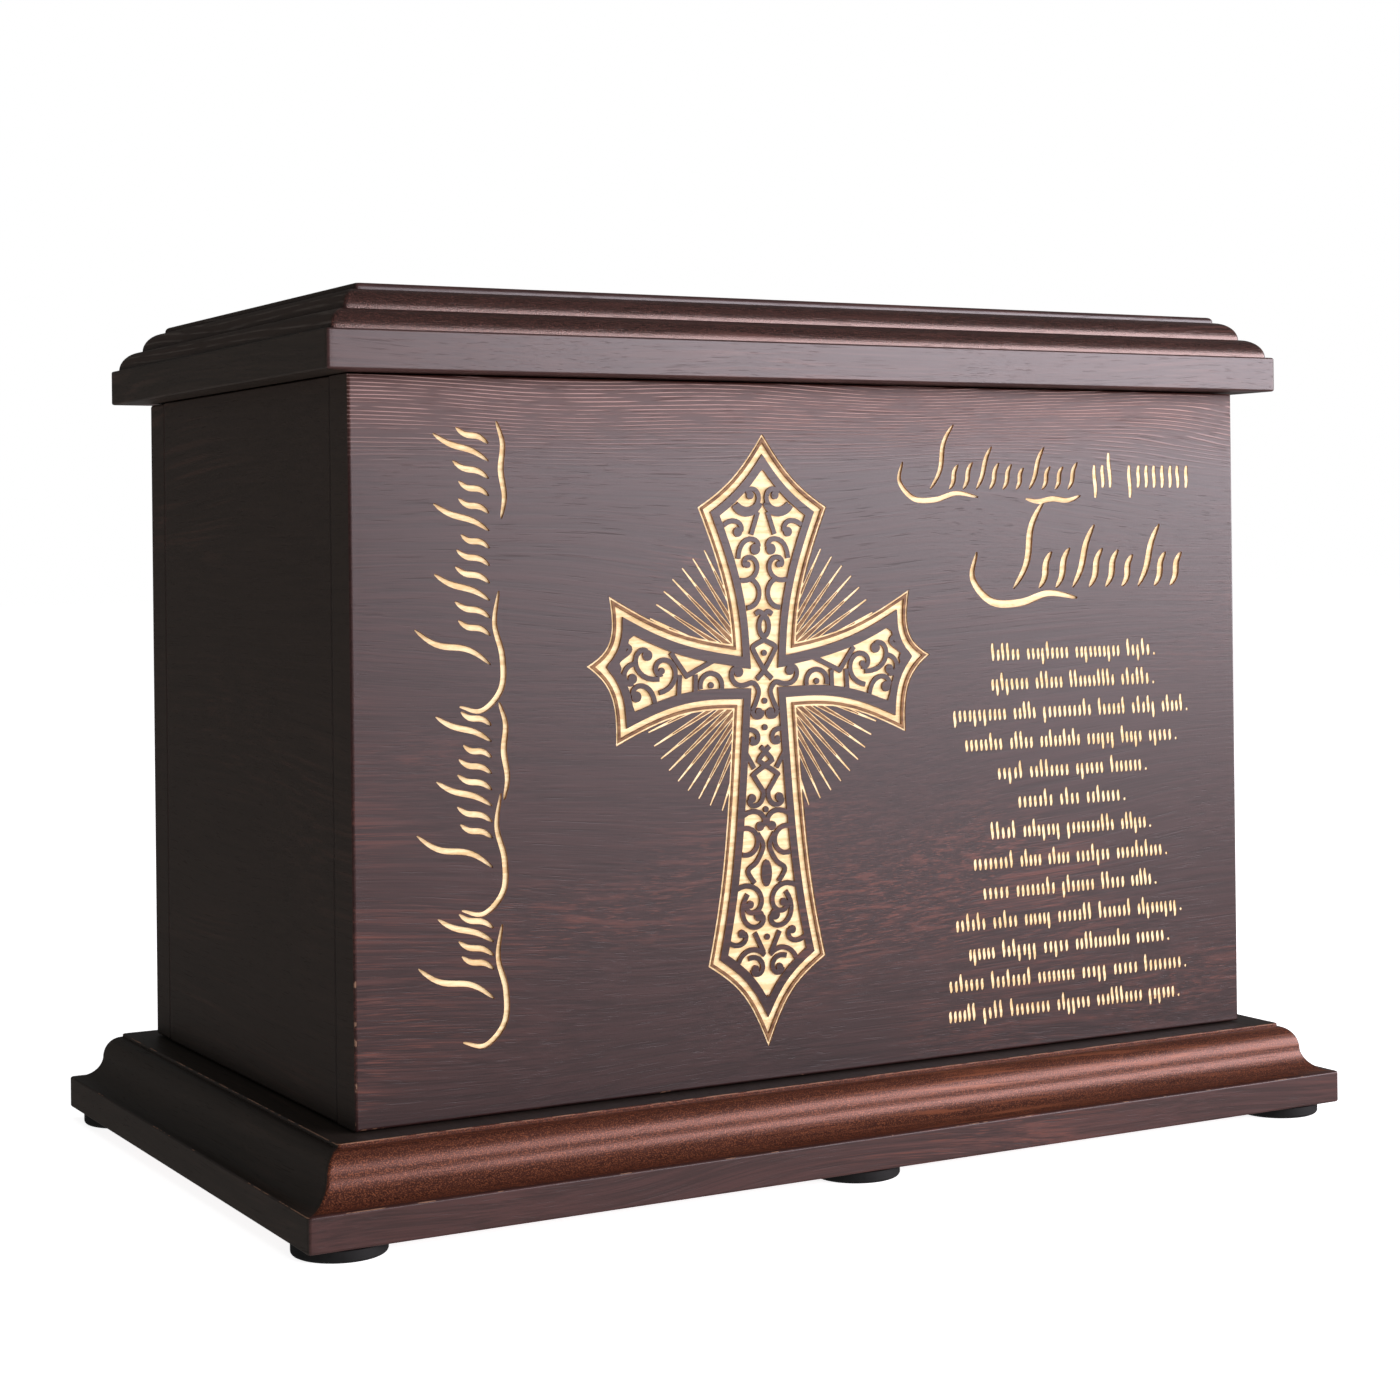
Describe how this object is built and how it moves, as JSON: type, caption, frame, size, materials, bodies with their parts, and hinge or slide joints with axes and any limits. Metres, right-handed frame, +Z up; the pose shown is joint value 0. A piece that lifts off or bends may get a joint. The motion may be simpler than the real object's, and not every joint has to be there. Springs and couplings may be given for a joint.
{
  "type": "cremation urn box",
  "caption": "Rectangular wooden urn box on a moulded base with round pads, under a lift-off moulded lid, with a cross and rows of strokes engraved on the front.",
  "frame": {"origin": "middle of the underside, level with the undersides of the six pads", "axes": "+X to the right along the long front, +Y from the engraved front to the back, +Z up"},
  "size_m": [0.2578, 0.1578, 0.1887],
  "materials": {
    "stained_wood": "dark red-brown stain under semi-gloss lacquer, fine horizontal grain",
    "engraved_wood": "the same stain, engraved through to pale bare wood with browned edges",
    "base_wood": "dark red-brown stain under semi-gloss lacquer, rubbed warmer on the moulded edge",
    "lid_wood": "dark red-brown stain under semi-gloss lacquer, fine dark pores",
    "foot_rubber": "matte black"
  },
  "bodies": {
    "root": {"front_board": "engraved_wood", "back_board": "stained_wood", "left_board": "stained_wood", "right_board": "stained_wood", "base": "base_wood", "lid": "lid_wood", "foot_front_left": "foot_rubber", "foot_front_middle": "foot_rubber", "foot_front_right": "foot_rubber", "foot_back_left": "foot_rubber", "foot_back_middle": "foot_rubber", "foot_back_right": "foot_rubber"}
  },
  "joints": []
}
